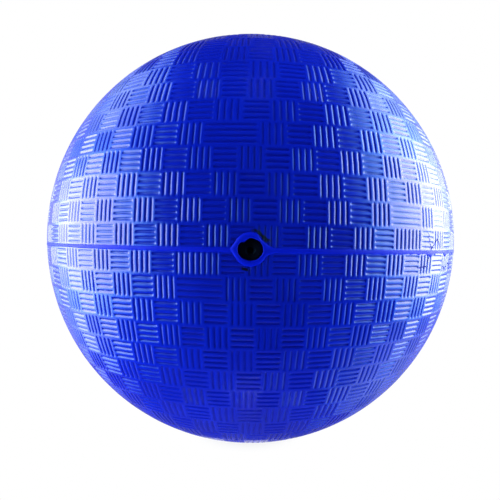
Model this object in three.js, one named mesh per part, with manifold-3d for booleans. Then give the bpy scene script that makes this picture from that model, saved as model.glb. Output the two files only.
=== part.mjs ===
// Inflated rubber play ball with a needle valve.
// Two moulded cover halves knit together at a parting line that widens into a collar round the valve
// mouth. Under them lie a bladder, a patch and a valve seat, and a plug pulls straight out of the seat.
// Millimetres, origin at the ball's centre, +Z through the mould's poles, valve towards -Y.
import * as THREE from 'three';
import { mergeVertices } from 'three/addons/utils/BufferGeometryUtils.js';
import Module from 'manifold-3d';

// Shell
const BALL_RADIUS = 89;
const COVER_THICKNESS = 1.8;
const BLADDER_THICKNESS = 1.2;
const PLY_GAP = 0.3;

// Parting line and the collar that it runs into
const SEAM_WIDTH = 1;
const SEAM_RISE = 0.2;
const SEAM_CREST = 0.5;
const COLLAR_WALL = 0.9;
const COLLAR_RISE = 0.5;
const COLLAR_TAIL = 3;
const COLLAR_FLANK = Math.PI / 4;
const COLLAR_CLEARANCE = 0.3;

// Valve mouth and plug
const MOUTH_RADIUS = 3.8;
const MOUTH_LIP = 0.35;
const PLUG_HEAD_RADIUS = 2.9;
const PLUG_HEAD_HEIGHT = 2.1;
const PLUG_SHOULDER = 0.8;
const PLUG_BODY_LENGTH = 14.4;
const PLUG_TIP_CHAMFER = 0.8;
const NEEDLE_RADIUS = 0.95;
const NEEDLE_LEAD_IN = 0.6;
const NEEDLE_END_WALL = 3;

// Valve seat and the patch that ties it to the bladder
const BORE_CLEARANCE = 0.15;
const SEAT_COUNTERBORE = 1.4;
const SEAT_NECK_WALL = 1.5;
const SEAT_STEM_WALL = 2;
const SEAT_STEM_TAPER = 0.6;
const FLANGE_REACH = 6;
const FLANGE_THICKNESS = 1.5;
const PATCH_REACH = 5;
const PATCH_THICKNESS = 1;
const PATCH_SKIVE = 2;

// Facets
const COVER_SIDES = 60;
const COVER_ROWS = 15;
const BLADDER_SIDES = 40;
const BLADDER_ROWS = 20;
const VALVE_SIDES = 32;
const VALVE_ROWS = 4;

// A faceted round surface lies inside its true one, so what fits inside it takes the inscribed radius.
const inscribed = (radius, rows) => radius * Math.cos(Math.PI / (4 * rows)) ** 2;

// Radii of the plies, from the outside in
const coverInner = BALL_RADIUS - COVER_THICKNESS;
const bladderOuter = inscribed(coverInner, COVER_ROWS) - PLY_GAP;
const bladderInner = bladderOuter - BLADDER_THICKNESS;
const patchOuter = inscribed(bladderInner, BLADDER_ROWS / 2) - PLY_GAP;
const patchInner = patchOuter - PATCH_THICKNESS;
const flangeOuter = patchInner - PLY_GAP;

// Radii about the valve's axis
const collarRadius = MOUTH_RADIUS + MOUTH_LIP + COLLAR_WALL;
const plugBodyRadius = PLUG_HEAD_RADIUS - PLUG_SHOULDER;
const boreRadius = plugBodyRadius + BORE_CLEARANCE;
const counterboreRadius = PLUG_HEAD_RADIUS + BORE_CLEARANCE;
const neckRadius = MOUTH_RADIUS + SEAT_NECK_WALL;
const stemRadius = boreRadius + SEAT_STEM_WALL;
const flangeRadius = neckRadius + FLANGE_REACH;
const patchRadius = flangeRadius + PATCH_REACH;
const neckHole = neckRadius + PLY_GAP;

// Distances from the ball's centre along the valve's axis
const heightAt = (sphere, radius) => Math.sqrt(sphere ** 2 - radius ** 2);
const neckTop = heightAt(coverInner, neckRadius) - PLY_GAP;
const plugSeat = neckTop - SEAT_COUNTERBORE;
const plugFace = plugSeat + PLUG_HEAD_HEIGHT;
const plugTip = plugSeat - PLUG_BODY_LENGTH;
const flangeBottom = heightAt(flangeOuter, flangeRadius) - FLANGE_THICKNESS;

const wasm = await Module();
wasm.setup();

function toSolid(geometry) {
  const bare = geometry.clone();
  bare.deleteAttribute('normal');
  bare.deleteAttribute('uv');
  const merged = mergeVertices(bare, 1e-4);
  const index = Array.from(merged.index.array);
  const triangles = [];
  for (let i = 0; i < index.length; i += 3) {
    const [a, b, c] = index.slice(i, i + 3);
    if (a !== b && b !== c && c !== a) {
      triangles.push(a, b, c);
    }
  }
  return new wasm.Manifold(new wasm.Mesh({
    numProp: 3,
    vertProperties: new Float32Array(merged.attributes.position.array),
    triVerts: new Uint32Array(triangles),
  }));
}

function toGeometry(solid) {
  const mesh = solid.getMesh();
  const geometry = new THREE.BufferGeometry();
  geometry.setAttribute('position', new THREE.BufferAttribute(new Float32Array(mesh.vertProperties), 3));
  geometry.setIndex(Array.from(mesh.triVerts));
  geometry.computeVertexNormals();
  return geometry;
}

const point = (radius, height) => new THREE.Vector2(radius, height);

// Points of a circle about the ball's centre, by their angle from the axis of revolution
function arc(radius, from, to, steps) {
  const points = [];
  for (let i = 0; i <= steps; i += 1) {
    const angle = from + ((to - from) * i) / steps;
    points.push(point(Math.max(0, radius * Math.sin(angle)), radius * Math.cos(angle)));
  }
  return points;
}

// The same circle between two distances from the axis
const cap = (radius, from, to, steps) => arc(radius, Math.asin(from / radius), Math.asin(to / radius), steps);

const closed = (points) => [...points, points[0].clone()];

const aboutPoles = (profile) => new THREE.LatheGeometry(profile, COVER_SIDES).rotateX(Math.PI / 2);

const aboutValve = (profile, sides) => new THREE.LatheGeometry(profile, sides).rotateX(Math.PI);

// Outline of the collar: a circle whose flanks sweep out along the parting line on both sides
function collarOutline(grow) {
  const radius = collarRadius + grow;
  const halfSeam = SEAM_WIDTH / 2 + grow;
  const shoulderX = radius * Math.cos(COLLAR_FLANK);
  const shoulderY = radius * Math.sin(COLLAR_FLANK);
  const bendX = (radius - halfSeam * Math.sin(COLLAR_FLANK)) / Math.cos(COLLAR_FLANK);
  const tipX = bendX + COLLAR_TAIL;
  const outline = new THREE.Shape();
  outline.moveTo(tipX, halfSeam);
  outline.quadraticCurveTo(bendX, halfSeam, shoulderX, shoulderY);
  outline.absarc(0, 0, radius, COLLAR_FLANK, Math.PI - COLLAR_FLANK, false);
  outline.quadraticCurveTo(-bendX, halfSeam, -tipX, halfSeam);
  outline.lineTo(-tipX, -halfSeam);
  outline.quadraticCurveTo(-bendX, -halfSeam, -shoulderX, -shoulderY);
  outline.absarc(0, 0, radius, Math.PI + COLLAR_FLANK, 2 * Math.PI - COLLAR_FLANK, false);
  outline.quadraticCurveTo(bendX, -halfSeam, tipX, -halfSeam);
  outline.closePath();
  return { outline, tipX };
}

// A straight cut along the valve's axis, through the cover and clear of it on both sides
function collarPrism(outline) {
  const from = coverInner - COVER_THICKNESS;
  const to = BALL_RADIUS + COVER_THICKNESS;
  const settings = { depth: to - from, bevelEnabled: false, curveSegments: VALVE_ROWS * 2 };
  const geometry = new THREE.ExtrudeGeometry(outline, settings);
  return toSolid(geometry.rotateX(Math.PI / 2).translate(0, -from, 0));
}

function coverHalf() {
  const halfSeam = SEAM_WIDTH / 2;
  const shell = aboutPoles([
    ...arc(coverInner, 0, Math.acos(halfSeam / coverInner), COVER_ROWS),
    ...arc(BALL_RADIUS, Math.acos(halfSeam / BALL_RADIUS), 0, COVER_ROWS),
  ]);
  const pocket = collarPrism(collarOutline(COLLAR_CLEARANCE).outline);
  return toGeometry(toSolid(shell).subtract(pocket));
}

function seamRing() {
  const halfSeam = SEAM_WIDTH / 2;
  const halfCrest = SEAM_CREST / 2;
  return toSolid(aboutPoles(closed([
    point(coverInner, -halfSeam),
    point(BALL_RADIUS, -halfSeam),
    point(BALL_RADIUS + SEAM_RISE, -halfCrest),
    point(BALL_RADIUS + SEAM_RISE, halfCrest),
    point(BALL_RADIUS, halfSeam),
    point(coverInner, halfSeam),
  ])));
}

// The collar's crown stands highest at the mouth and sinks to the parting line at its tips
function collarBody() {
  const { outline, tipX } = collarOutline(0);
  const crown = cap(BALL_RADIUS, tipX, 0, VALVE_ROWS).map(({ x, y }) => {
    const swell = (COLLAR_RISE - SEAM_RISE) * (1 - (x / tipX) ** 2);
    return point(x, y + SEAM_RISE + swell);
  });
  const lens = aboutValve([...cap(coverInner, 0, tipX, VALVE_ROWS), ...crown], VALVE_SIDES);
  return toSolid(lens).intersect(collarPrism(outline));
}

function mouthCutter() {
  const lipTop = BALL_RADIUS + COLLAR_RISE;
  const above = lipTop + MOUTH_LIP;
  return toSolid(aboutValve([
    point(0, neckTop),
    point(MOUTH_RADIUS, neckTop),
    point(MOUTH_RADIUS, lipTop - MOUTH_LIP),
    point(MOUTH_RADIUS + 2 * MOUTH_LIP, above),
    point(0, above),
  ], VALVE_SIDES));
}

function seamBead() {
  return toGeometry(seamRing().add(collarBody()).subtract(mouthCutter()));
}

function bladder() {
  const back = Math.PI;
  const outerEdge = Math.asin(neckHole / bladderOuter);
  const innerEdge = Math.asin(neckHole / bladderInner);
  const profile = [
    ...arc(bladderOuter, back, outerEdge, BLADDER_ROWS),
    ...arc(bladderInner, innerEdge, back, BLADDER_ROWS),
  ];
  return toGeometry(toSolid(aboutValve(profile, BLADDER_SIDES)));
}

function valvePatch() {
  const profile = closed([
    ...cap(patchInner, neckHole, patchRadius - PATCH_SKIVE, VALVE_ROWS),
    ...cap(patchOuter, patchRadius, neckHole, VALVE_ROWS),
  ]);
  return toGeometry(toSolid(aboutValve(profile, VALVE_SIDES)));
}

function valveSeat() {
  const profile = closed([
    point(boreRadius, plugTip),
    point(stemRadius - SEAT_STEM_TAPER, plugTip),
    point(stemRadius, flangeBottom),
    point(flangeRadius, flangeBottom),
    ...cap(flangeOuter, flangeRadius, neckRadius, VALVE_ROWS),
    point(neckRadius, neckTop),
    point(counterboreRadius, neckTop),
    point(counterboreRadius, plugSeat),
    point(boreRadius, plugSeat),
  ]);
  return toGeometry(toSolid(aboutValve(profile, VALVE_SIDES)));
}

function valvePlug() {
  const leadIn = NEEDLE_RADIUS + NEEDLE_LEAD_IN;
  const profile = [
    point(0, plugTip),
    point(plugBodyRadius - PLUG_TIP_CHAMFER, plugTip),
    point(plugBodyRadius, plugTip + PLUG_TIP_CHAMFER),
    point(plugBodyRadius, plugSeat),
    point(PLUG_HEAD_RADIUS, plugSeat),
    point(PLUG_HEAD_RADIUS, plugFace),
    point(leadIn, plugFace),
    point(NEEDLE_RADIUS, plugFace - NEEDLE_LEAD_IN),
    point(NEEDLE_RADIUS, plugTip + NEEDLE_END_WALL),
    point(0, plugTip + NEEDLE_END_WALL),
  ];
  return toGeometry(toSolid(aboutValve(profile, VALVE_SIDES)));
}

const coverRubber = new THREE.MeshStandardMaterial({ color: 0x1a24b8, roughness: 0.45, metalness: 0 });
const flashRubber = new THREE.MeshStandardMaterial({ color: 0x0f2ad6, roughness: 0.35, metalness: 0 });
const butylRubber = new THREE.MeshStandardMaterial({ color: 0x222226, roughness: 0.7, metalness: 0 });
const valveRubber = new THREE.MeshStandardMaterial({ color: 0x0b0b0d, roughness: 0.6, metalness: 0 });

function piece(name, geometry, material) {
  const mesh = new THREE.Mesh(geometry, material);
  mesh.name = name;
  return mesh;
}

const coverGeometry = coverHalf();
const coverUpper = piece('cover_upper', coverGeometry, coverRubber);
const coverLower = piece('cover_lower', coverGeometry, coverRubber);
coverLower.rotation.y = Math.PI;

const ball = new THREE.Group();
ball.add(
  coverUpper,
  coverLower,
  piece('seam_bead', seamBead(), flashRubber),
  piece('bladder', bladder(), butylRubber),
  piece('valve_patch', valvePatch(), butylRubber),
  piece('valve_seat', valveSeat(), butylRubber),
  piece('valve_plug', valvePlug(), valveRubber),
);

export default ball;
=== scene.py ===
# Looks of an inflated rubber play ball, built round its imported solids: two basketweave cover halves, the
# parting line with its valve collar, the valve and the bladder. Metres, +Z up, valve towards -Y.
import math
import random

import bpy
from mathutils import Matrix, Vector, noise


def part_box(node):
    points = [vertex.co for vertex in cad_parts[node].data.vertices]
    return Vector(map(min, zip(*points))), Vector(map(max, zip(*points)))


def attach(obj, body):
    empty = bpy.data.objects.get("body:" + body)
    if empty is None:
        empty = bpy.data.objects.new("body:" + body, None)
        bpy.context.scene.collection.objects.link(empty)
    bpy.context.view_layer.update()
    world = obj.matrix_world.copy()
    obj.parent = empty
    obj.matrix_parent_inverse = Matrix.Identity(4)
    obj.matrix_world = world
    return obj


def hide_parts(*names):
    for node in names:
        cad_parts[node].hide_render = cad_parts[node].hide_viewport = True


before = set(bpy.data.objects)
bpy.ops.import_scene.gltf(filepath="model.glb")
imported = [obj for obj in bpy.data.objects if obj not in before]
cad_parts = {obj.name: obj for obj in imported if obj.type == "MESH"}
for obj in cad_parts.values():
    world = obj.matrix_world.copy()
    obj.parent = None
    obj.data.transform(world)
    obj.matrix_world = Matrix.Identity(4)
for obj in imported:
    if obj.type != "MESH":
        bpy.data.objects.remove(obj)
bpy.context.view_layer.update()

MM = 0.001
TURN = 2 * math.pi
SEED = 5
rng = random.Random(SEED)
noise.seed_set(SEED)

# Sizes that the solids set
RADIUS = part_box("cover_upper")[1][2]
HALF_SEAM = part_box("cover_upper")[0][2]
COLLAR_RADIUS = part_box("seam_bead")[1][2]
COVER_THICKNESS = 1.8 * MM
MOUTH_RADIUS = 3.8 * MM

# Basketweave: rows of blocks whose four grooves run upright and level in turn
ROW_RISE = 7.74 * MM
TALLEST_ROW = math.radians(7.5)
GROOVES = 4
GROOVE_DEPTH = 0.25 * MM
DEPTH_RANGE = (0.88, 1.08)
LEVEL_DEEPER = 1.3
HALF_LAND = 0.2 * MM
SIDE_STRETCH = 1.15
LEAN = 0.7
UPRIGHT, LEVEL = "upright", "level"

# Blocks in each row, from the parting line to the pole
BLOCK_COUNTS = (64, 64, 60, 60, 54, 50, 48, 40, 38, 32, 26, 20, 14, 8)

# For each row, the longitude in degrees of the middle of an upright block, or the left and right edges of
# the wide block that closes the row, and how its grooves run
UPPER_ROWS = ((30.8, 40, UPRIGHT), (30, 40, LEVEL), -5.1, -0.1, (-10.4, 1.4, LEVEL), -5.5, 1.9, 2.8, -6, 14,
              3, 14, 6, 20)
LOWER_ROWS = ((-14.8, -5.6, UPRIGHT), (-14.6, -5, LEVEL), -1.4, 4, -1.4, -6.1, -1.2, -7.1, 1.6, 14,
              5, 16, 2, 12)

# Place in a groove's pitch and share of its depth, across and along it
ACROSS = ((0.17, 0.01), (0.26, 0.16), (0.42, 0.88), (0.5, 1), (0.58, 0.88), (0.74, 0.16), (0.83, 0.01))
ALONG = ((0, 0), (0.045, 0.65), (0.09, 1), (0.28, 1), (0.5, 1), (0.72, 1), (0.91, 1), (0.955, 0.65), (1, 0))

# Smooth cap at each pole, with the places of its loops as shares of its reach
CAP_EDGE = math.radians(86)
CAP_LOOPS = (0.6, 0.3)
CAP_STEPS = 24

# Parting face and inside
FOOT_STEPS = 256
INSIDE_LOOPS = 16
INSIDE_STEPS = 96

# Unevenness of moulded rubber: swellings, and a sideways wobble that fades out at the parting line
SWELL = 0.03 * MM
SWELL_LENGTH = 5 * MM
WOBBLE = 0.08 * MM
WOBBLE_LENGTH = 2.5 * MM
WOBBLE_FADE = 1 * MM


def on_ball(lat, lon, radius):
    flat = radius * math.cos(lat)
    return Vector((flat * math.sin(lon), -flat * math.cos(lon), radius * math.sin(lat)))


def add_object(name, points, faces, material):
    mesh = bpy.data.meshes.new(name)
    mesh.from_pydata(points, [], faces)
    mesh.validate()
    mesh.shade_smooth()
    mesh.materials.append(material)
    piece = bpy.data.objects.new(name, mesh)
    bpy.context.scene.collection.objects.link(piece)
    return piece


def combine(piece, tool, operation):
    """Joins tool to piece, or cuts it out of piece, and removes tool."""
    change = piece.modifiers.new("combine", "BOOLEAN")
    change.operation = operation
    change.solver = "MANIFOLD"
    change.object = tool
    view = bpy.context.evaluated_depsgraph_get()
    mesh = bpy.data.meshes.new_from_object(piece.evaluated_get(view))
    piece.modifiers.clear()
    piece.data = mesh
    bpy.data.objects.remove(tool)


def row_edges():
    """Latitudes of the edges of the rows: equal rises up to the tallest row, and equal arcs above it."""
    edges = [math.asin(HALF_SEAM / RADIUS)]
    following = math.asin(ROW_RISE / RADIUS)
    while following - edges[-1] < TALLEST_ROW:
        edges.append(following)
        following = math.asin(len(edges) * ROW_RISE / RADIUS)
    start = edges[-1]
    rest = math.ceil((CAP_EDGE - start) / TALLEST_ROW)
    for i in range(rest):
        edges.append(start + (CAP_EDGE - start) * (i + 1) / rest)
    return edges


def turn_at(degrees):
    """Turn about the poles, in even blocks, at which a longitude lies: blocks are wider at the sides."""
    lon = math.radians(degrees)
    return math.atan2(SIDE_STRETCH * math.sin(lon), math.cos(lon))


def longitude_at(turn, lat, middle):
    """Longitude of a turn in a row. Blocks lean outwards a little on the slopes towards the poles."""
    lon = math.atan2(math.sin(turn) / SIDE_STRETCH, math.cos(turn))
    return lon + LEAN * math.tan(middle) * math.sin(2 * lon) / 2 * (lat - middle)


def other(kind):
    return LEVEL if kind == UPRIGHT else UPRIGHT


def row_blocks(count, layout):
    """Left turn, right turn, direction and number of grooves of each block of a row."""
    blocks = []
    if isinstance(layout, tuple):
        left, right, kind = turn_at(layout[0]), turn_at(layout[1]), layout[2]
        span = TURN - (right - left)
        count -= 1
        grooves = round(GROOVES * (right - left) * count / span) if kind == UPRIGHT else GROOVES
        blocks.append((left, right, kind, grooves))
        start = right
        kind = other(kind)
    else:
        span = TURN
        start = turn_at(layout) - TURN / count / 2
        kind = UPRIGHT
    for i in range(count):
        blocks.append((start + span * i / count, start + span * (i + 1) / count, kind, GROOVES))
        kind = other(kind)
    return blocks


class Skin:
    """Mesh of one cover half. The lower half is the upper one turned over, with its own weave."""

    def __init__(self, sign):
        self.sign = sign
        self.points = []
        self.places = []
        self.faces = []

    def add(self, lat, turn, radius, middle=0):
        point = on_ball(lat, longitude_at(turn, lat, middle), radius)
        point.z *= self.sign
        self.points.append(point)
        self.places.append((lat, turn))
        return len(self.points) - 1

    def face(self, *corners):
        self.faces.append(corners if self.sign > 0 else corners[::-1])

    def stitch(self, left, right, measure):
        """Triangles between two lines of points, left and right of the way in which measure grows."""
        i = j = 0
        while i + 1 < len(left) or j + 1 < len(right):
            more_left = i + 1 < len(left)
            more_right = j + 1 < len(right)
            if more_left and (not more_right or measure(left, i + 1) <= measure(right, j + 1)):
                self.face(left[i], right[j], left[i + 1])
                i += 1
            else:
                self.face(left[i], right[j], right[j + 1])
                j += 1

    def latitude(self, line, i):
        return self.places[line[i]][0]

    def stitch_sides(self, left, right):
        self.stitch(left, right, self.latitude)

    def stitch_loops(self, upper, lower):
        """Joins two closed loops of points that go round the pole."""
        start = self.places[upper[0]][1]
        turns = [(self.places[index][1] - start + TURN / 2) % TURN for index in lower]
        first = min(range(len(lower)), key=lambda i: abs(turns[i] - TURN / 2))
        lower = lower[first:] + lower[:first]
        upper = upper + upper[:1]
        lower = lower + lower[:1]
        shift = self.places[lower[0]][1] - start
        shift -= TURN * round(shift / TURN)

        def turned(line, i):
            base = shift if line is lower else 0
            if i == len(line) - 1:
                return base + TURN
            return base + (self.places[line[i]][1] - self.places[line[0]][1]) % TURN

        self.stitch(upper, lower, turned)

    def ring(self, lat, radius, count):
        return [self.add(lat, TURN * i / count, radius) for i in range(count)]


def groove_profile(count):
    profile = [((k + place) / count, depth) for k in range(count) for place, depth in ACROSS]
    return [(0, 0)] + profile + [(1, 0)]


def add_block(skin, low, high, left, right, kind, grooves):
    """Grid of one block. Returns its left, right, bottom and top edges."""
    profile = groove_profile(grooves)
    columns, rows = (profile, ALONG) if kind == UPRIGHT else (ALONG, profile)
    depth = GROOVE_DEPTH * rng.uniform(*DEPTH_RANGE)
    if kind == LEVEL:
        depth *= LEVEL_DEEPER
    middle = (low + high) / 2
    grid = []
    for v, deep_v in rows:
        lat = low + (high - low) * v
        line = []
        for u, deep_u in columns:
            turn = left + (right - left) * u
            line.append(skin.add(lat, turn, RADIUS - depth * deep_u * deep_v, middle))
        grid.append(line)
    for below, above in zip(grid, grid[1:]):
        for i in range(len(below) - 1):
            skin.face(below[i], below[i + 1], above[i + 1], above[i])
    return [line[0] for line in grid], [line[-1] for line in grid], grid[0], grid[-1]


def add_rows(skin, layouts):
    """Rows of blocks. Returns the loops of points at the parting line and round the cap."""
    lats = row_edges()
    inset = HALF_LAND / RADIUS
    foot = None
    below = None
    for low, high, count, layout in zip(lats[:-1], lats[1:], BLOCK_COUNTS, layouts, strict=True):
        side_inset = inset / math.cos((low + high) / 2)
        first_left = None
        last_right = None
        bottom, top = [], []
        for left, right, kind, grooves in row_blocks(count, layout):
            left_side, right_side, bottom_side, top_side = add_block(
                skin, low + inset, high - inset, left + side_inset, right - side_inset, kind, grooves)
            if last_right:
                skin.stitch_sides(last_right, left_side)
            else:
                first_left = left_side
            last_right = right_side
            bottom += bottom_side
            top += top_side
        skin.stitch_sides(last_right, first_left)
        if below:
            skin.stitch_loops(bottom, below)
        else:
            foot = bottom
        below = top
    return foot, below


def add_cap(skin, edge):
    for share in CAP_LOOPS:
        loop = skin.ring(math.pi / 2 - (math.pi / 2 - CAP_EDGE) * share, RADIUS, CAP_STEPS)
        skin.stitch_loops(loop, edge)
        edge = loop
    pole = skin.add(math.pi / 2, 0, RADIUS)
    for i in range(len(edge)):
        skin.face(edge[i], edge[(i + 1) % len(edge)], pole)


def add_inside(skin, foot):
    """Parting face, from the foot of the weave inwards, and inside of the cover."""
    edge = skin.ring(math.asin(HALF_SEAM / RADIUS), RADIUS, FOOT_STEPS)
    skin.stitch_loops(foot, edge)
    inner = RADIUS - COVER_THICKNESS
    low = math.asin(HALF_SEAM / inner)
    for i in range(INSIDE_LOOPS):
        loop = skin.ring(low + (math.pi / 2 - low) * i / INSIDE_LOOPS, inner, INSIDE_STEPS)
        skin.stitch_loops(edge, loop)
        edge = loop
    pole = skin.add(math.pi / 2, 0, inner)
    for i in range(len(edge)):
        skin.face(edge[(i + 1) % len(edge)], edge[i], pole)


def roughen(skin):
    """Gives the outside its unevenness."""
    for i, point in enumerate(skin.points):
        if point.length > RADIUS - COVER_THICKNESS / 2:
            swell = SWELL * noise.noise(point / SWELL_LENGTH)
            inland = min(1, (abs(point.z) - HALF_SEAM) / WOBBLE_FADE)
            moved = point + noise.noise_vector(point / WOBBLE_LENGTH) * (WOBBLE * inland)
            skin.points[i] = moved.normalized() * (point.length + swell)


def cover_half(name, sign, layouts, material):
    skin = Skin(sign)
    foot, top = add_rows(skin, layouts)
    add_cap(skin, top)
    add_inside(skin, foot)
    roughen(skin)
    return add_object(name, skin.points, skin.faces, material)


# Collar round the mouth: an eye shape with a low tail along the parting line and one flattened shoulder.
# Bearings and spreads are in degrees, anticlockwise from the right
FLANK = math.radians(33)
COLLAR_STEPS = 192
COLLAR_RISE = 0.25 * MM
COLLAR_UNEVEN = 0.05 * MM
COLLAR_LUMPS = 3
TAIL_LENGTH = 2 * MM
TAIL_BEARING, TAIL_SPREAD = -3, 10
TAIL_LOWER = 0.6
SHOULDER_CUT = 0.75 * MM
SHOULDER_BEARING, SHOULDER_SPREAD = 42, 17

# Share of the way from the collar's outer edge to the mouth, step outwards and rise, both in millimetres
COLLAR_SECTION = ((0, -0.2, -1.7), (0, 0.05, -0.35), (0, -0.05, 0), (0, -0.3, 0.22), (0.5, 0, 0.34),
                  (1, 0.3, 0.36), (1, 0.07, 0.28), (1, 0, 0.1))
THROAT = (1, 0, -2.1)
CUTTER_INSET = 0.35 * MM

# Ragged mouth with a lobe of rubber on its upper left
MOUTH_HALF_HEIGHT = 3.3 * MM
MOUTH_RAGGED = 0.1 * MM
MOUTH_LUMPS = 4
LOBE_SIZE = 0.6 * MM
LOBE_BEARING, LOBE_SPREAD = 124, 17


def bump(angle, middle, half_width):
    """1 at an angle in degrees, falling to 0 on both sides of it."""
    away = (math.degrees(angle) - middle + 180) % 360 - 180
    return math.exp(-(away / half_width) ** 2)


def round_noise(angle, lumps):
    return noise.noise(Vector((math.cos(angle), math.sin(angle), 0)) * lumps)


def collar_edge(angle):
    """Distance of the collar's outer edge from the middle of the mouth."""
    from_seam = abs((angle + math.pi / 2) % math.pi - math.pi / 2)
    reach = COLLAR_RADIUS
    if from_seam < FLANK:
        reach = COLLAR_RADIUS / math.cos(FLANK - from_seam)
    tail = TAIL_LENGTH * bump(angle, TAIL_BEARING, TAIL_SPREAD)
    flat = SHOULDER_CUT * bump(angle, SHOULDER_BEARING, SHOULDER_SPREAD)
    return reach + tail - flat


def mouth_edge(angle):
    """Distance of the mouth's ragged lip from its middle."""
    wide, high = MOUTH_RADIUS, MOUTH_HALF_HEIGHT
    reach = wide * high / math.hypot(high * math.cos(angle), wide * math.sin(angle))
    ragged = MOUTH_RAGGED * round_noise(angle, MOUTH_LUMPS)
    return reach + ragged - LOBE_SIZE * bump(angle, LOBE_BEARING, LOBE_SPREAD)


def on_front(x, z, rise):
    """A point of the ball's front, raised along the valve's axis."""
    return Vector((x, -math.sqrt(RADIUS ** 2 - x ** 2 - z ** 2) - rise, z))


def loft(name, loops, material):
    """Closed ring of closed loops of points."""
    count = len(loops[0])
    points = [point for loop in loops for point in loop]
    faces = []
    for k in range(len(loops)):
        a, b = k * count, ((k + 1) % len(loops)) * count
        for i in range(count):
            j = (i + 1) % count
            faces.append((a + i, a + j, b + j, b + i))
    return add_object(name, points, faces, material)


def collar_loop(share, step, rise, least=0):
    """Points round the collar at a place of its section, no nearer to the middle than least."""
    points = []
    for i in range(COLLAR_STEPS):
        angle = TURN * i / COLLAR_STEPS
        reach = max(least, collar_edge(angle) * (1 - share) + mouth_edge(angle) * share + step * MM)
        height = rise * MM
        if rise > 0:
            uneven = COLLAR_UNEVEN * round_noise(angle, COLLAR_LUMPS)
            height = (height + uneven) * (1 - TAIL_LOWER * bump(angle, TAIL_BEARING, TAIL_SPREAD))
        points.append(on_front(reach * math.cos(angle), reach * math.sin(angle) + COLLAR_RISE, height))
    return points


def collar(material):
    loops = [collar_loop(*place) for place in COLLAR_SECTION]
    loops.append(collar_loop(*THROAT, least=MOUTH_RADIUS))
    return loft("collar", loops, material)


def collar_cutter(material):
    """Prism a little inside the collar's edge."""
    points = []
    for depth in (RADIUS - 2 * COVER_THICKNESS, RADIUS + COVER_THICKNESS):
        for i in range(COLLAR_STEPS):
            angle = TURN * i / COLLAR_STEPS
            reach = collar_edge(angle) - CUTTER_INSET
            points.append(Vector((reach * math.cos(angle), -depth, reach * math.sin(angle) + COLLAR_RISE)))
    faces = [tuple(range(COLLAR_STEPS - 1, -1, -1)), tuple(range(COLLAR_STEPS, 2 * COLLAR_STEPS))]
    for i in range(COLLAR_STEPS):
        j = (i + 1) % COLLAR_STEPS
        faces.append((j, j + COLLAR_STEPS, i + COLLAR_STEPS, i))
    return add_object("collar_cutter", points, faces, material)


# Parting line: a low flat band of flash that laps over both covers. Its section is in millimetres across
# and up, and its width and rise vary along it, by these shares over these lengths
SEAM_STEPS = 900
SEAM_SECTION = ((-0.44, -1.7), (-0.44, -0.25), (-0.72, -0.12), (-0.68, 0), (-0.4, 0.07), (0, 0.1),
                (0.4, 0.07), (0.68, 0), (0.72, -0.12), (0.44, -0.25), (0.44, -1.7))
SEAM_GAP = 4.2 * MM
FOOT_WIDTH = 0.45
LEAST_WIDTH = 0.77
BROAD_CHANGE, BROAD_LENGTH = 0.15, 6 * MM
FINE_CHANGE, FINE_LENGTH = 0.12, 1.7 * MM
RISE_CHANGE, RISE_LENGTH = 0.5, 4 * MM
RISE_OFFSET = Vector((0, 0, 7))

# The flash is narrower from this longitude on both sides of the valve, in degrees
SIDE_TAPER = 0.38
TAPER_START = 30

# Stretch of the parting line, in degrees of longitude, where the flash is ragged and spills downwards
RAGGED_MIDDLE, RAGGED_SPREAD = 50, 16
RAGGED_CHANGE = 0.5
SPILL, SPILL_LENGTH = 4, 2.4 * MM
SPILL_LIFT = 0.09 * MM


def seam_bead(material):
    gap = SEAM_GAP / RADIUS
    points, faces = [], []
    sides = len(SEAM_SECTION)
    for i in range(SEAM_STEPS + 1):
        lon = gap + (TURN - 2 * gap) * i / SEAM_STEPS
        along = Vector((math.cos(lon), math.sin(lon), 0)) * RADIUS
        ragged = bump(lon, RAGGED_MIDDLE, RAGGED_SPREAD)
        broad = BROAD_CHANGE * noise.noise(along / BROAD_LENGTH)
        fine = (FINE_CHANGE + RAGGED_CHANGE * ragged) * noise.noise(along / FINE_LENGTH)
        from_valve = abs((math.degrees(lon) + 180) % 360 - 180)
        taper = SIDE_TAPER * min(1, max(0, from_valve / TAPER_START - 1))
        width = max(LEAST_WIDTH, (1 + broad + fine) * (1 - taper))
        spill = ragged * max(0, SPILL * noise.noise(along / SPILL_LENGTH))
        rise = 1 + RISE_CHANGE * noise.noise(along / RISE_LENGTH + RISE_OFFSET)
        for across, up in SEAM_SECTION:
            radius = RADIUS + up * MM * (rise if up > 0 else 1)
            if across < 0 and up == 0:
                radius += SPILL_LIFT * min(1, spill)
            spread = width if abs(across) > FOOT_WIDTH else 1
            if across < -FOOT_WIDTH:
                spread += spill
            points.append(Vector((radius * math.sin(lon), -radius * math.cos(lon), across * MM * spread)))
    for i in range(SEAM_STEPS):
        for j in range(sides):
            k = (j + 1) % sides
            faces.append((i * sides + j, (i + 1) * sides + j, (i + 1) * sides + k, i * sides + k))
    faces.append(tuple(range(sides)))
    faces.append(tuple(range((SEAM_STEPS + 1) * sides - 1, SEAM_STEPS * sides - 1, -1)))
    return add_object("seam_bead_flash", points, faces, material)


# Places of a mix node's colour sockets
MIX_FIRST, MIX_SECOND, MIX_RESULT = 6, 7, 2

# Scale and detail of the noise that drifts in rubber's colour and gloss, and the stops of its ramps
COLOUR_DRIFT, COLOUR_STOPS = (45, 4), (0.35, 0.65)
GLOSS_DRIFT, GLOSS_STOPS = (160, 3), (0.3, 0.7)
GRAIN_DETAIL = 3
GRAIN_STRENGTH = 0.5


def grey(value):
    return (value, value, value, 1)


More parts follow.
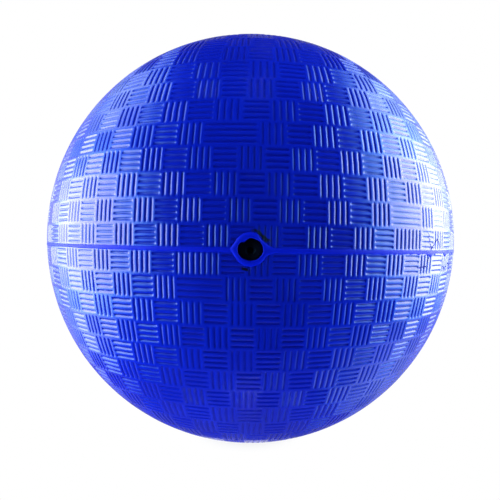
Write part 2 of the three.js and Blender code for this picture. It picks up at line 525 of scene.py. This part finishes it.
def maths(tree, operation, first, second=0):
    node = tree.nodes.new("ShaderNodeMath")
    node.operation = operation
    for socket, value in zip(node.inputs, (first, second)):
        if isinstance(value, bpy.types.NodeSocket):
            tree.links.new(value, socket)
        else:
            socket.default_value = value
    return node.outputs[0]


def times(tree, first, second):
    return maths(tree, "MULTIPLY", first, second)


def smooth_steps(tree, value, start, end, at_start, at_end):
    node = tree.nodes.new("ShaderNodeMapRange")
    node.interpolation_type = "SMOOTHSTEP"
    for socket, level in (("From Min", start), ("From Max", end), ("To Min", at_start), ("To Max", at_end)):
        node.inputs[socket].default_value = level
    tree.links.new(value, node.inputs["Value"])
    return node.outputs["Result"]


def near(tree, value, middle, half_width):
    """1 where a value is near middle, falling to 0 at half_width from it."""
    away = maths(tree, "ABSOLUTE", maths(tree, "SUBTRACT", value, middle))
    return smooth_steps(tree, away, 0.6 * half_width, half_width, 1, 0)


def distance_from(tree, vector, point):
    node = tree.nodes.new("ShaderNodeVectorMath")
    node.operation = "DISTANCE"
    tree.links.new(vector, node.inputs[0])
    node.inputs[1].default_value = point
    return node.outputs["Value"]


def split(tree, vector):
    axes = tree.nodes.new("ShaderNodeSeparateXYZ")
    tree.links.new(vector, axes.inputs[0])
    return axes.outputs


def object_place(tree):
    return tree.nodes.new("ShaderNodeTexCoord").outputs["Object"]


def add_noise(tree, scale, detail):
    texture = tree.nodes.new("ShaderNodeTexNoise")
    texture.inputs["Scale"].default_value = scale
    texture.inputs["Detail"].default_value = detail
    tree.links.new(object_place(tree), texture.inputs["Vector"])
    return texture.outputs["Fac"]


def add_ramp(tree, factor, stops, colours, target):
    """Drives a socket by a ramp between two colours."""
    ramp = tree.nodes.new("ShaderNodeValToRGB")
    for element, position, colour in zip(ramp.color_ramp.elements, stops, colours):
        element.position = position
        element.color = colour
    tree.links.new(factor, ramp.inputs["Fac"])
    tree.links.new(ramp.outputs["Color"], target)


def add_grain(tree, shader, scale, height):
    relief = tree.nodes.new("ShaderNodeBump")
    relief.inputs["Strength"].default_value = GRAIN_STRENGTH
    relief.inputs["Distance"].default_value = height
    tree.links.new(add_noise(tree, scale, GRAIN_DETAIL), relief.inputs["Height"])
    tree.links.new(relief.outputs["Normal"], shader.inputs["Normal"])


def new_material(name, **settings):
    material = bpy.data.materials.new(name)
    material.use_nodes = True
    shader = material.node_tree.nodes["Principled BSDF"]
    for socket, value in settings.items():
        shader.inputs[socket.replace("_", " ")].default_value = value
    return material, shader


def rubber(name, colours, roughness, gloss, grain_scale, grain_height):
    """Rubber whose colour and gloss drift a little, with a fine grain."""
    material, shader = new_material(name, Specular_IOR_Level=gloss)
    tree = material.node_tree
    greys = [grey(value) for value in roughness]
    add_ramp(tree, add_noise(tree, *COLOUR_DRIFT), COLOUR_STOPS, colours, shader.inputs["Base Color"])
    add_ramp(tree, add_noise(tree, *GLOSS_DRIFT), GLOSS_STOPS, greys, shader.inputs["Roughness"])
    add_grain(tree, shader, grain_scale, grain_height)
    return material, shader


def lay_over(tree, socket, mask, colour):
    """Lays a colour over what goes into a socket, where mask is 1."""
    mix = tree.nodes.new("ShaderNodeMix")
    mix.data_type = "RGBA"
    tree.links.new(mask, mix.inputs["Factor"])
    tree.links.new(socket.links[0].from_socket, mix.inputs[MIX_FIRST])
    mix.inputs[MIX_SECOND].default_value = colour
    tree.links.new(mix.outputs[MIX_RESULT], socket)


def add_mark(tree, shader, mask, colour, roughness):
    lay_over(tree, shader.inputs["Base Color"], mask, colour)
    lay_over(tree, shader.inputs["Roughness"], mask, grey(roughness))


# Grooves get painted shade, a darker blue in their colour, and are duller than the lands between them. The
# change lies between two shares of their depth
GROOVE_SHADE_BLUE = (0.0003, 0.008, 0.35, 1)
GROOVE_ROUGHNESS = 0.3
SHADE_AND_DULL_START, SHADE_AND_DULL_END = 0.15, 0.55


def shade_and_dull_grooves(tree, shader):
    away = distance_from(tree, object_place(tree), (0, 0, 0))
    start = RADIUS - SHADE_AND_DULL_START * GROOVE_DEPTH
    end = RADIUS - SHADE_AND_DULL_END * GROOVE_DEPTH
    # Painted shade: the colour darkens into the grooves with depth, and the grooves also turn duller
    add_mark(tree, shader, smooth_steps(tree, away, end, start, 1, 0), GROOVE_SHADE_BLUE, GROOVE_ROUGHNESS)


# Black smears beside the collar: bearing and its half width, reach from the valve's axis and its half width
SMEARS = ((56, 38, 5.9 * MM, 0.7 * MM), (256, 14, 5.5 * MM, 0.6 * MM))
SMEAR_BLACK = (0.001, 0.001, 0.003, 1)
SMEAR_ROUGHNESS = 0.4
SMEAR_FRONT = (-0.6 * RADIUS, -0.5 * RADIUS)

# Noise, as scale and detail, that breaks the smears up and makes them wander
SMEAR_BREAKS, BREAK_LEVELS = (700, 2), (0.34, 0.44)
SMEAR_WAVES, SMEAR_WANDER = (420, 3), 3 * MM


def add_smears(tree, shader):
    x, y, z = split(tree, object_place(tree))
    broken = smooth_steps(tree, add_noise(tree, *SMEAR_BREAKS), *BREAK_LEVELS, 0, 1)
    front = smooth_steps(tree, y, *SMEAR_FRONT, 1, 0)
    from_axis = maths(tree, "SQRT", maths(tree, "ADD", times(tree, x, x), times(tree, z, z)))
    wander = times(tree, maths(tree, "SUBTRACT", add_noise(tree, *SMEAR_WAVES), 0.5), SMEAR_WANDER)
    reach = maths(tree, "ADD", from_axis, wander)
    bearing = maths(tree, "ARCTAN2", z, x)
    for middle, half_width, distance, half_reach in SMEARS:
        turned = math.radians((middle + 180) % 360 - 180)
        on_bearing = near(tree, bearing, turned, math.radians(half_width))
        mask = times(tree, on_bearing, near(tree, reach, distance, half_reach))
        mask = times(tree, mask, times(tree, broken, front))
        add_mark(tree, shader, mask, SMEAR_BLACK, SMEAR_ROUGHNESS)


# Fine creases in the cover on the right of the valve, beside the parting line, drawn as painted shade: dark
# blue, dull lines in the colour, without relief
CREASE_AZIMUTH, CREASE_SPREAD = 53, 18
CREASE_HEIGHT = 8 * MM
CREASE_SCALE = 90
CREASE_WIDTH = 0.024
CREASE_SHADE_BLUE = (0.001, 0.004, 0.2, 1)
CREASE_ROUGHNESS = 0.9
CREASE_PATCHES, PATCH_LEVELS = (220, 1), (0.42, 0.5)


def add_shaded_creases(tree, shader):
    place = object_place(tree)
    x, y, z = split(tree, place)
    azimuth = maths(tree, "ARCTAN2", x, times(tree, y, -1))
    cells = tree.nodes.new("ShaderNodeTexVoronoi")
    cells.feature = "DISTANCE_TO_EDGE"
    cells.inputs["Scale"].default_value = CREASE_SCALE
    tree.links.new(place, cells.inputs["Vector"])
    line = smooth_steps(tree, cells.outputs["Distance"], 0.5 * CREASE_WIDTH, CREASE_WIDTH, 1, 0)
    patchy = smooth_steps(tree, add_noise(tree, *CREASE_PATCHES), *PATCH_LEVELS, 0, 1)
    on_right = near(tree, azimuth, math.radians(CREASE_AZIMUTH), math.radians(CREASE_SPREAD))
    mask = times(tree, on_right, near(tree, z, 0, CREASE_HEIGHT))
    mask = times(tree, mask, times(tree, line, patchy))
    # Painted shade: the crease lines are dark blue in the colour, and duller
    add_mark(tree, shader, mask, CREASE_SHADE_BLUE, CREASE_ROUGHNESS)


cover_rubber, cover_shader = rubber(
    "cover_rubber", colours=((0.001, 0.011, 0.38, 1), (0.002, 0.016, 0.46, 1)),
    roughness=(0.17, 0.25), gloss=0.4, grain_scale=1800, grain_height=0.012 * MM)
shade_and_dull_grooves(cover_rubber.node_tree, cover_shader)
add_smears(cover_rubber.node_tree, cover_shader)
add_shaded_creases(cover_rubber.node_tree, cover_shader)
flash_rubber, _ = rubber(
    "flash_rubber", colours=((0.001, 0.009, 0.5, 1), (0.002, 0.014, 0.6, 1)),
    roughness=(0.42, 0.52), gloss=0.1, grain_scale=1200, grain_height=0.012 * MM)
butyl_rubber, _ = rubber(
    "butyl_rubber", colours=((0.012, 0.012, 0.013, 1), (0.02, 0.02, 0.022, 1)),
    roughness=(0.6, 0.75), gloss=0.3, grain_scale=900, grain_height=0.05 * MM)
plug_rubber, _ = rubber(
    "plug_rubber", colours=((0.003, 0.003, 0.004, 1), (0.006, 0.006, 0.008, 1)),
    roughness=(0.5, 0.65), gloss=0.2, grain_scale=1500, grain_height=0.03 * MM)

# Pieces
for node, sign, layouts in (("cover_upper", 1, UPPER_ROWS), ("cover_lower", -1, LOWER_ROWS)):
    piece = cover_half(node + "_weave", sign, layouts, cover_rubber)
    combine(piece, collar_cutter(cover_rubber), "DIFFERENCE")
    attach(piece, "ball")
    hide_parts(node)

bead = seam_bead(flash_rubber)
combine(bead, collar(flash_rubber), "UNION")
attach(bead, "ball")
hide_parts("seam_bead")

for node, material in (("bladder", butyl_rubber), ("valve_patch", butyl_rubber), ("valve_seat", butyl_rubber),
                       ("valve_plug", plug_rubber)):
    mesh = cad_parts[node].data
    mesh.materials.clear()
    mesh.materials.append(material)

# Camera: close to the ball and a little above its middle's height, as the photograph shows it
FRAME_PIXELS = 500
FOCAL_PIXELS = 485.8
AXIS_PIXEL = (250, 292.5)
CENTRE_PIXEL = (250.4, 246.4)
CAMERA_DISTANCE = 2.6 * RADIUS
ELEVATION = math.radians(0.75)
ROLL = math.radians(1.05)
SENSOR_WIDTH = 36
CLIP_START = 0.01


def add_camera():
    data = bpy.data.cameras.new("camera")
    data.sensor_width = SENSOR_WIDTH
    data.lens = data.sensor_width * FOCAL_PIXELS / FRAME_PIXELS
    data.shift_y = (AXIS_PIXEL[1] - FRAME_PIXELS / 2) / FRAME_PIXELS
    data.clip_start = CLIP_START
    camera = bpy.data.objects.new("camera", data)
    bpy.context.scene.collection.objects.link(camera)

    across = (CENTRE_PIXEL[0] - AXIS_PIXEL[0]) / FOCAL_PIXELS
    above = (AXIS_PIXEL[1] - CENTRE_PIXEL[1]) / FOCAL_PIXELS
    line = Vector((across, above, -1)).normalized()
    lean = Vector((math.sin(ROLL), math.cos(ROLL), 0))
    up = (lean - lean.project(line)).normalized()
    z_axis = up * math.cos(ELEVATION) - line * math.sin(ELEVATION)
    y_axis = line * math.cos(ELEVATION) + up * math.sin(ELEVATION)
    turn = Matrix((y_axis.cross(z_axis), y_axis, z_axis))
    place = Vector((0, -math.cos(ELEVATION), math.sin(ELEVATION))) * CAMERA_DISTANCE
    camera.matrix_world = Matrix.Translation(place) @ turn.to_4x4()
    bpy.context.scene.camera = camera


add_camera()

# Light: bright panels beside the ball, dimmer ones behind, above and below them, and fill from the poles that
# gives no reflections
LIGHT_DISTANCE = 0.55
WARM, COOL, NEUTRAL = (0.82, 0.86, 0.84), (0.62, 0.88, 0.97), (1, 1, 1)
PANELS = (
    # name, azimuth from the front, elevation, half width, half height in degrees, brightness, colour
    ("left_softbox", -83, 5, 44, 36, 10.8, WARM),
    ("left_rear_softbox", -126, 8, 22, 30, 0.3, WARM),
    ("left_top_softbox", -106, 45, 32, 20, 2.7, COOL),
    ("left_low_softbox", -95, -26, 34, 18, 2.6, COOL),
    ("right_softbox", 92, 11, 42, 40, 10.4, WARM),
    ("right_rear_softbox", 130, 14, 24, 32, 0.3, WARM),
    ("right_top_softbox", 106, 44, 32, 20, 3.3, COOL),
    ("right_low_softbox", 97, -42, 34, 27, 1.2, COOL),
)
FILLS = (
    ("top_fill", 0, 80, 7, 7, 42, NEUTRAL),
    ("bottom_fill", 0, -76, 7, 7, 114, NEUTRAL),
)

# A panel is 1 across, so its rim lies 0.5 from its middle. Its light falls off from the core to the rim, and
# its colour turns blue round a place that is set back from the middle
PANEL_MIDDLE = 0.5
PANEL_CORE, PANEL_RIM = 0.17, 0.5
RIM_BLUE = (0.2, 0.68, 1.3)
BLUE_REACH = 0.42
SET_BACK = 0.08


def softbox(name, azimuth, elevation, half_width, half_height, brightness, colour):
    """Oval panel, brightest in its middle and bluer towards its rim, most of all in front."""
    data = bpy.data.lights.new(name, "AREA")
    data.shape = "ELLIPSE"
    data.size = 2 * LIGHT_DISTANCE * math.tan(math.radians(half_width))
    data.size_y = 2 * LIGHT_DISTANCE * math.tan(math.radians(half_height))
    data.energy = brightness * math.pi * math.pi / 4 * data.size * data.size_y
    data.use_nodes = True
    tree = data.node_tree
    place = tree.nodes.new("ShaderNodeNewGeometry").outputs["Parametric"]
    from_middle = distance_from(tree, place, (PANEL_MIDDLE, PANEL_MIDDLE, 0))
    glow = smooth_steps(tree, from_middle, PANEL_CORE, PANEL_RIM, 1, 0)
    rear = PANEL_MIDDLE + math.copysign(SET_BACK, azimuth)
    from_rear = distance_from(tree, place, (rear, PANEL_MIDDLE, 0))
    tint = tree.nodes.new("ShaderNodeMix")
    tint.data_type = "RGBA"
    tree.links.new(smooth_steps(tree, from_rear, PANEL_CORE, BLUE_REACH, 1, 0), tint.inputs["Factor"])
    tint.inputs[MIX_FIRST].default_value = (*RIM_BLUE, 1)
    tint.inputs[MIX_SECOND].default_value = (*colour, 1)
    emission = tree.nodes["Emission"]
    tree.links.new(glow, emission.inputs["Strength"])
    tree.links.new(tint.outputs[MIX_RESULT], emission.inputs["Color"])
    light = bpy.data.objects.new(name, data)
    light.location = on_ball(math.radians(elevation), math.radians(azimuth), LIGHT_DISTANCE)
    light.rotation_euler = (-light.location).to_track_quat("-Z", "Y").to_euler()
    bpy.context.scene.collection.objects.link(light)
    return light


for panel in PANELS:
    softbox(*panel)
for fill in FILLS:
    softbox(*fill).visible_glossy = False


def reflected(tree):
    """1 where a surface is seen in a reflection or through glass, and 0 otherwise."""
    path = tree.nodes.new("ShaderNodeLightPath")
    return maths(tree, "MAXIMUM", path.outputs["Is Glossy Ray"], path.outputs["Is Transmission Ray"])


def camera_ray(tree):
    return tree.nodes.new("ShaderNodeLightPath").outputs["Is Camera Ray"]


def add_glow(tree, strength):
    glow = tree.nodes.new("ShaderNodeBackground")
    glow.inputs["Color"].default_value = grey(1)
    if isinstance(strength, bpy.types.NodeSocket):
        tree.links.new(strength, glow.inputs["Strength"])
    else:
        glow.inputs["Strength"].default_value = strength
    return glow.outputs[0]


def mix_shaders(tree, share, first, second):
    mix = tree.nodes.new("ShaderNodeMixShader")
    tree.links.new(share, mix.inputs["Fac"])
    tree.links.new(first, mix.inputs[1])
    tree.links.new(second, mix.inputs[2])
    return mix.outputs[0]


# Studio: a white room to the camera. Reflections show a pale backdrop behind the ball, darker above and
# below, a little of the ground and a dark front, and the room's fill is weak
ROOM_WHITE = 1
ROOM_FILL = 0.05
DARK_FRONT = 0.02
BACKDROP = 0.5
OVERHEAD = 0.02
UNDERFOOT = 0.2
GROUND = 0.15

# Parts of a direction, backwards for the backdrop and upwards for the rest, between which these change
BACKDROP_EDGES = (-0.1, 0.6)
OVERHEAD_EDGES = (0.3, 0.75)
UNDERFOOT_EDGES = (-0.75, -0.3)
GROUND_EDGES = (-0.97, -0.7)


def add_world():
    world = bpy.data.worlds.new("studio")
    world.use_nodes = True
    tree = world.node_tree
    tree.nodes.clear()
    _, back, up = split(tree, tree.nodes.new("ShaderNodeTexCoord").outputs["Generated"])
    backdrop = smooth_steps(tree, back, *BACKDROP_EDGES, DARK_FRONT, BACKDROP)
    above = smooth_steps(tree, up, *OVERHEAD_EDGES, 1, OVERHEAD)
    below = smooth_steps(tree, up, *UNDERFOOT_EDGES, UNDERFOOT, 1)
    ground = smooth_steps(tree, up, *GROUND_EDGES, GROUND, DARK_FRONT)
    shown = maths(tree, "MAXIMUM", times(tree, backdrop, times(tree, above, below)), ground)
    room = mix_shaders(tree, reflected(tree), add_glow(tree, ROOM_FILL), add_glow(tree, shown))
    room = mix_shaders(tree, camera_ray(tree), room, add_glow(tree, ROOM_WHITE))
    output = tree.nodes.new("ShaderNodeOutputWorld")
    tree.links.new(room, output.inputs["Surface"])
    world.cycles.sampling_method = "NONE"
    bpy.context.scene.world = world


add_world()

# Floor: a small round patch that takes the ball's shadow and fades into the white
FLOOR_REACH = 0.34 * RADIUS
FLOOR_FADE = 0.3 * FLOOR_REACH
FLOOR_STEPS = 64
FLOOR_GREY = 0.85
FLOOR_ROUGHNESS = 0.8
SHADOW_SHARE = 0.25


def floor_material():
    material, shader = new_material("floor_paint", Base_Color=grey(FLOOR_GREY), Roughness=FLOOR_ROUGHNESS)
    tree = material.node_tree
    away = distance_from(tree, object_place(tree), (0, 0, 0))
    white = smooth_steps(tree, away, FLOOR_FADE, FLOOR_REACH, 1 - SHADOW_SHARE, 1)
    seen = maths(tree, "MAXIMUM", camera_ray(tree), reflected(tree))
    glow = tree.nodes.new("ShaderNodeEmission")
    glow.inputs["Color"].default_value = grey(1)
    surface = mix_shaders(tree, times(tree, white, seen), shader.outputs[0], glow.outputs[0])
    tree.links.new(surface, tree.nodes["Material Output"].inputs["Surface"])
    return material


rim = [on_ball(0, TURN * i / FLOOR_STEPS, FLOOR_REACH) for i in range(FLOOR_STEPS)]
floor = add_object("floor", rim, [tuple(range(FLOOR_STEPS))], floor_material())
floor.location.z = -RADIUS

bpy.context.scene.view_settings.view_transform = "Standard"
